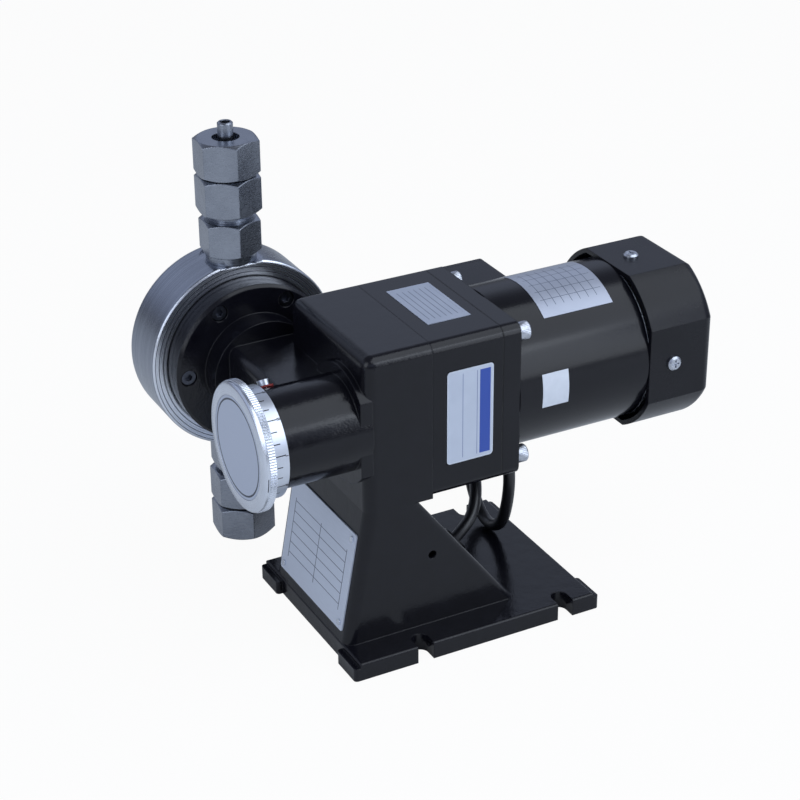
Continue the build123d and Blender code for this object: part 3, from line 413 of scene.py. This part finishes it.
def finish_mesh(o, sharp=32.0):
    """Turns the faces outwards and shades them smooth up to the sharp angle, in degrees."""
    shape = bmesh.new()
    shape.from_mesh(o.data)
    bmesh.ops.recalc_face_normals(shape, faces=shape.faces)
    shape.to_mesh(o.data)
    shape.free()
    o.data.shade_smooth()
    o.data.set_sharp_from_angle(angle=math.radians(sharp))


knurl_ridges, knurl_depth = 150, 0.4
knob_points, knob_faces = [], []
turn_up(knob_points, knob_faces, (-17.0, 133.0), [
    (-130.0, 27.8, ""), (-130.0, 33.0, ""), (-129.7, 33.7, ""), (-128.8, 34.5, ""), (-127.5, 34.5, ""),
    (-127.4, 35.0, "knurl"), (-123.6, 35.0, "knurl"), (-123.4, 34.2, ""), (-123.2, 33.8, ""),
    (-123.2, 4.1, ""), (-129.2, 4.1, ""), (-129.2, 27.8, ""),
], 2 * knurl_ridges, knurl_depth)
knob = sheet_object("knob_turned", knob_points, knob_faces)
finish_mesh(knob)

shaft_y = -0.017
bright = Paint("bright_aluminium")
x, y, z = bright.parts()
out = bright.reach(y - shaft_y, z - axis_z)
rings = bright.noise(1.0, 4.0, bright.vector(out * 3000.0, x * 3000.0, 1.0))
stain = bright.noise(90.0, 3.0)
lean = bright.polar(z - axis_z, shaft_y - y)
index = bright.band(lean, -0.30, -0.06) * bright.band(x, -0.1286, -0.1281) * (out > 0.033)
polish = bright.blend(rings * 0.6 + stain * 0.4, (0.56, 0.60, 0.68), (0.84, 0.88, 0.96))
bright.set(
    Base_Color=bright.blend(index, polish, (0.03, 0.03, 0.05)),
    Metallic=1.0,
    Roughness=0.20 + rings * 0.12,
    Normal=bright.bump(rings, 0.00004, 0.7, 0.0003),
)
bright.cover(knob, "end_bell")
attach(knob, "knob")
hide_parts("stroke_knob")

# Stroke scale: an aluminium cap on the barrel's end, with engraved ticks and plain numerals.
# The ticks stand 12 degrees apart, and every third is long and has its numeral.
scale = Paint("stroke_scale")
x, y, z = scale.parts()
ticks = 30
angle = scale.polar(y - shaft_y, z - axis_z)
step = angle * (ticks / (2.0 * math.pi)) + (ticks / 2.0 + 0.5)
tick = abs(scale.fract(step) - 0.5) > 0.455
third = abs(scale.fract(step / 3.0) - 0.5) > 0.45
mark = tick * (x < -0.1182 + third * 0.0016)
stain = scale.noise(80.0, 3.0)
silver = scale.blend(stain, (0.56, 0.60, 0.68), (0.78, 0.82, 0.90))
scale.set(
    Base_Color=scale.blend(mark, silver, (0.02, 0.02, 0.025)),
    Metallic=0.85,
    Roughness=0.30 + stain * 0.1,
    Normal=scale.edge(0.0004),
)
scale.cover("stroke_scale")

strokes = {
    "a": (0, 2, 1, 2), "b": (1, 1, 1, 2), "c": (1, 0, 1, 1), "d": (0, 0, 1, 0),
    "e": (0, 0, 0, 1), "f": (0, 1, 0, 2), "g": (0, 1, 1, 1),
}
numerals = ("abcdef", "bc", "abged", "abgcd", "fgbc", "afgcd", "afgedc", "abc", "abcdefg", "abcfgd")
pen, width, squat = 0.18, 0.95, 0.8
dial_r, foot_x = 29.84, -114.8
block = ((0, 1, 2, 3), (7, 6, 5, 4), (0, 4, 5, 1), (1, 5, 6, 2), (2, 6, 7, 3), (3, 7, 4, 0))
ink_points, ink_faces = [], []
for digit, code in enumerate(numerals):
    for stroke in code:
        u0, v0, u1, v1 = [width * c for c in strokes[stroke]]
        du = pen if u0 == u1 else 0.0
        dv = pen if v0 == v1 else 0.0
        corners = [(u0 - du, v0 - dv), (u1 + du, v0 - dv), (u1 + du, v1 + dv), (u0 - du, v1 + dv)]
        start = len(ink_points)
        for r in (dial_r, dial_r + 0.05):
            for u, v in corners:
                a = 2.0 * math.pi * (digit / 10.0 + 1.0 / 12.0) - (u - width / 2.0) / dial_r
                ink_points.append((
                    (foot_x - v * squat) * 0.001,
                    shaft_y + r * 0.001 * math.sin(a),
                    axis_z + r * 0.001 * math.cos(a),
                ))
        ink_faces += [tuple(start + k for k in f) for f in block]
figures = sheet_object("scale_numerals", ink_points, ink_faces)
ink_black = Paint("engraving_ink")
fade = ink_black.noise(900.0, 2.0)
ink_black.set(
    Base_Color=ink_black.blend(fade, (0.01, 0.01, 0.015), (0.03, 0.03, 0.04)),
    Roughness=0.5 + fade * 0.1,
)
ink_black.cover(figures)
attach(figures, "stand")

# Knob disc: a thin aluminium disc let into the knob's face, brushed round and round and left bare.
# A ring near its edge is painted dark, as painted shade in a groove.
disc = Paint("knob_disc")
x, y, z = disc.parts()
out = disc.reach(y - shaft_y, z - axis_z)
rings = disc.noise(1.0, 4.0, disc.vector(out * 2400.0, 0.0, 5.0))
grey = disc.blend(rings, (0.44, 0.49, 0.60), (0.62, 0.67, 0.80))
# Painted shade: the dark ring of the groove near the disc's edge.
painted_groove_shade = disc.band(out, 0.0252, 0.0262)
disc.set(
    Base_Color=disc.blend(painted_groove_shade, grey, (0.06, 0.07, 0.10)),
    Metallic=0.7,
    Roughness=0.32 + rings * 0.14,
    Normal=disc.bump(rings, 0.00003),
)
disc.cover("knob_disc")

# Nameplate: thin aluminium sheet, etched with a ruled table and riveted on, left without words.
# The rivets are plain aluminium.
plate = Paint("nameplate")
x, y, z = plate.parts()
down = z * 1000.0
side = y * 1000.0
row = plate.fract(down / 6.2 + 0.3)
rules = (row < 0.07) * plate.band(side, -28.0, 34.5) * plate.band(down, 26.0, 62.0)
posts = plate.band(side, -28.3, -27.7) + plate.band(side, 2.7, 3.3) + plate.band(side, 34.2, 34.8)
rules = rules + posts * plate.band(down, 26.0, 62.0)
brushed = plate.noise(1.0, 4.0, plate.vector(x * 100.0, y * 150.0, z * 3500.0))
metal = plate.blend(brushed, (0.54, 0.58, 0.68), (0.68, 0.73, 0.84))
plate.set(
    Base_Color=plate.blend(rules, metal, (0.10, 0.12, 0.18)),
    Metallic=0.2,
    Roughness=0.34 + brushed * 0.12,
    Normal=plate.bump(brushed, 0.00002),
)
plate.cover("nameplate")
bright.cover("nameplate_rivets")

# Gear case side label: printed film with a blue stripe, left without words.
# Its corners are rounded and a pale border runs round it.
film = Paint("side_label")
x, y, z = film.parts()
wash = film.noise(70.0, 2.0)
tint = film.blend(wash, (0.50, 0.55, 0.66), (0.60, 0.65, 0.76))
stripe = film.band(x, -0.0022, 0.0042) * film.band(z, 0.1085, 0.158)
frame_line = film.band(x, -0.0040, -0.0036) + film.band(x, -0.0126, -0.0122)
frame_line = frame_line * film.band(z, 0.1085, 0.158)
ink = film.blend(frame_line, tint, (0.20, 0.24, 0.42))
low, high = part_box("case_side_label")


def past_core(paint, u, v, low_u, high_u, low_v, high_v, radius):
    """How far a point lies outside the box that is drawn in from the edges by the corner radius."""
    du = abs(u - (low_u + high_u) / 2) - ((high_u - low_u) / 2 - radius)
    dv = abs(v - (low_v + high_v) / 2) - ((high_v - low_v) / 2 - radius)
    return paint.reach(paint.positive(du), paint.positive(dv))


corner_r, border_w = 0.0022, 0.0008
edge_way = past_core(film, x, z, low.x, high.x, low.z, high.z, corner_r)
border = edge_way > corner_r - border_w
film.set(
    Base_Color=film.blend(border, film.blend(stripe, ink, (0.03, 0.08, 0.40)), (0.62, 0.67, 0.76)),
    Alpha=edge_way < corner_r,
    Roughness=0.36 + wash * 0.1,
    Normal=film.edge(0.0002),
)
film.cover("case_side_label")

# Gear case top label: grey printed film, ruled in lines and left without words.
# It is glued flat on the case.
table = Paint("top_label")
x, y, z = table.parts()
row = table.fract(x / 0.0034)
rules = (row < 0.12) * table.band(y, -0.014, 0.023) * table.band(x, -0.0185, 0.0035)
wash = table.noise(60.0, 2.0)
sheet = table.blend(wash, (0.36, 0.40, 0.50), (0.48, 0.52, 0.62))
table.set(
    Base_Color=table.blend(rules, sheet, (0.12, 0.14, 0.20)),
    Roughness=0.34 + wash * 0.1,
    Metallic=0.3,
)
table.cover("case_top_label")

# Motor plate and sticker: silvered film ruled as a table, and a small bare paper sticker.
# Both are wrapped on the round shell and glued.
motor_y = 0.003
wrap = Paint("motor_plate")
x, y, z = wrap.parts()
angle = wrap.polar(y - motor_y, z - axis_z)
row = wrap.fract(x / 0.0052)
column = wrap.fract(angle / 0.14)
inside = wrap.band(x, 0.0500, 0.0880) * wrap.band(angle, -0.52, 0.20)
rules = ((row < 0.07) + (column < 0.05)) * inside
wash = wrap.noise(50.0, 2.0)
silvered = wrap.blend(wash, (0.34, 0.37, 0.45), (0.46, 0.49, 0.58))
wrap.set(
    Base_Color=wrap.blend(rules, silvered, (0.10, 0.12, 0.17)),
    Roughness=0.32 + wash * 0.1,
    Metallic=0.45,
)
wrap.cover("motor_rating_plate")

paper = Paint("motor_sticker")
wash = paper.noise(300.0, 3.0)
paper.set(
    Base_Color=paper.blend(wash, (0.66, 0.70, 0.78), (0.76, 0.80, 0.88)),
    Roughness=0.45 + wash * 0.1,
)
paper.cover("motor_sticker")

# Fasteners: zinc-plated socket screws and pan heads, bright and slightly blue.
# Each flange screw has a plain washer and a spring washer under its knurled head.
zinc = Paint("zinc_screws")
stain = zinc.noise(400.0, 3.0)
zinc.set(
    Base_Color=zinc.blend(stain, (0.36, 0.38, 0.43), (0.62, 0.65, 0.71)),
    Metallic=1.0,
    Roughness=0.24 + stain * 0.14,
    Normal=zinc.edge(0.0003),
)
bolt_points, bolt_faces = [], []
bolt_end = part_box("flange_bolts")[0][0] * 1000.0
seat, bore = 22.7, 3.2
washer = [(seat, bore, ""), (seat, 5.6, ""), (seat + 1.0, 5.6, ""), (seat + 1.0, bore, "")]
spring_washer = [(23.75, bore, ""), (23.75, 4.9, ""), (25.1, 4.9, ""), (25.1, bore, "")]
socket_screw = [
    (bolt_end, 3.0, ""), (25.15, 3.0, ""), (25.15, 4.8, ""), (25.5, 5.0, "knurl"), (30.5, 5.0, "knurl"),
    (31.1, 4.5, ""), (31.1, 2.5, "hex"), (28.0, 2.5, "hex"),
]
bolt_spread = 36.8
for across_y in (-bolt_spread, bolt_spread):
    for up_z in (-bolt_spread, bolt_spread):
        spot = (3.0 + across_y, 133.0 + up_z)
        turn_up(bolt_points, bolt_faces, spot, washer)
        turn_up(bolt_points, bolt_faces, spot, spring_washer)
        turn_up(bolt_points, bolt_faces, spot, socket_screw, 72, 0.2, False)
bolts = sheet_object("flange_socket_screws", bolt_points, bolt_faces)
finish_mesh(bolts)
zinc.cover(bolts, "cover_screws", "lock_screw")
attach(bolts, "stand")
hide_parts("flange_bolts")

# Head screws: blackened socket screws, sunk in the flange behind the pump head.
# They clamp the diaphragm, and little of them shows.
blacked = Paint("blackened_screws")
stain = blacked.noise(500.0, 3.0)
blacked.set(
    Base_Color=blacked.blend(stain, (0.06, 0.065, 0.08), (0.13, 0.14, 0.17)),
    Metallic=1.0,
    Roughness=0.26 + stain * 0.14,
    Normal=blacked.edge(0.0003),
)
blacked.cover("head_screws")

# Lock screw's washer: red fibre, stamped from sheet.
# It lies between the screw's head and the barrel.
fibre = Paint("red_fibre")
fleck = fibre.noise(1500.0, 3.0)
fibre.set(
    Base_Color=fibre.blend(fleck, (0.18, 0.015, 0.015), (0.30, 0.03, 0.025)),
    Roughness=0.6 + fleck * 0.2,
)
fibre.cover("lock_washer")

# Steel works inside: ground shafts, gears, bearings, rods and the motor's rotor and core.
# They are left unpainted.
ground = Paint("ground_steel")
marks = ground.noise(500.0, 4.0)
ground.set(
    Base_Color=ground.blend(marks, (0.34, 0.34, 0.35), (0.56, 0.56, 0.57)),
    Metallic=1.0,
    Roughness=0.25 + marks * 0.15,
)
ground.cover(
    "adjusting_screw", "thrust_bearing", "slide_rod", "crank_carrier", "crank_bearings",
    "cam_block", "cam_bearing", "push_rod", "output_shaft", "output_wheel",
    "output_bearings", "cluster_gear", "cluster_pin", "motor_bearings", "rotor", "stator_core",
)

# Return spring: round steel wire coiled round the push rod, held between its tappet and the bush.
spring_low, spring_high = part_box("return_spring")
wire_r, coil_r, turns, ring = 0.00068, 0.0084, 4, 10
end_room = 0.00072
rest_y, span = spring_low.y + end_room, spring_high.y - spring_low.y - 2.0 * end_room
coil_points, coil_faces = [], []
steps = turns * 36
for i in range(steps + 1):
    a = 2.0 * math.pi * turns * i / steps
    for k in range(ring):
        b = 2.0 * math.pi * k / ring
        r = coil_r + wire_r * math.cos(b)
        coil_points.append((
            head_x + r * math.cos(a),
            rest_y + span * i / steps + wire_r * math.sin(b),
            axis_z + r * math.sin(a),
        ))
for i in range(steps):
    for k in range(ring):
        n = (k + 1) % ring
        coil_faces.append((i * ring + k, (i + 1) * ring + k, (i + 1) * ring + n, i * ring + n))
coil_faces.append(tuple(range(ring)))
coil_faces.append(tuple(steps * ring + k for k in reversed(range(ring))))
spring = sheet_object("return_spring_wire", coil_points, coil_faces)
finish_mesh(spring, 50.0)
ground.cover(spring)
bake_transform(spring)
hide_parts("return_spring")

# Bronze: the adjusting nut and the push rod's guide bush, turned and left bare.
# Steel slides in both.
bronze = Paint("bronze")
marks = bronze.noise(350.0, 4.0)
bronze.set(
    Base_Color=bronze.blend(marks, (0.42, 0.24, 0.09), (0.62, 0.38, 0.16)),
    Metallic=1.0,
    Roughness=0.30 + marks * 0.15,
)
bronze.cover("adjusting_nut", "rod_bush")

# Stator windings: copper wire wound through the core's slots and dipped in brown varnish.
# The wire shows as fine strands round the motor's axis.
varnish = Paint("varnished_windings")
x, y, z = varnish.parts()
angle = varnish.polar(y - motor_y, z - axis_z)
strand = varnish.noise(1.0, 3.0, varnish.vector(x * 1500.0, angle * 3.0, 0.0))
varnish.set(
    Base_Color=varnish.blend(strand, (0.22, 0.06, 0.02), (0.50, 0.20, 0.07)),
    Roughness=0.30 + strand * 0.2,
    Normal=varnish.bump(strand, 0.0003),
)
varnish.cover("stator_windings")

# Diaphragm: a pale moulded membrane, clamped between the flange and the pump head.
# Its surface is matt, as it leaves the mould.
membrane = Paint("membrane")
fleck = membrane.noise(600.0, 3.0)
membrane.set(
    Base_Color=membrane.blend(fleck, (0.66, 0.66, 0.62), (0.78, 0.78, 0.75)),
    Roughness=0.5 + fleck * 0.15,
)
membrane.cover("diaphragm")
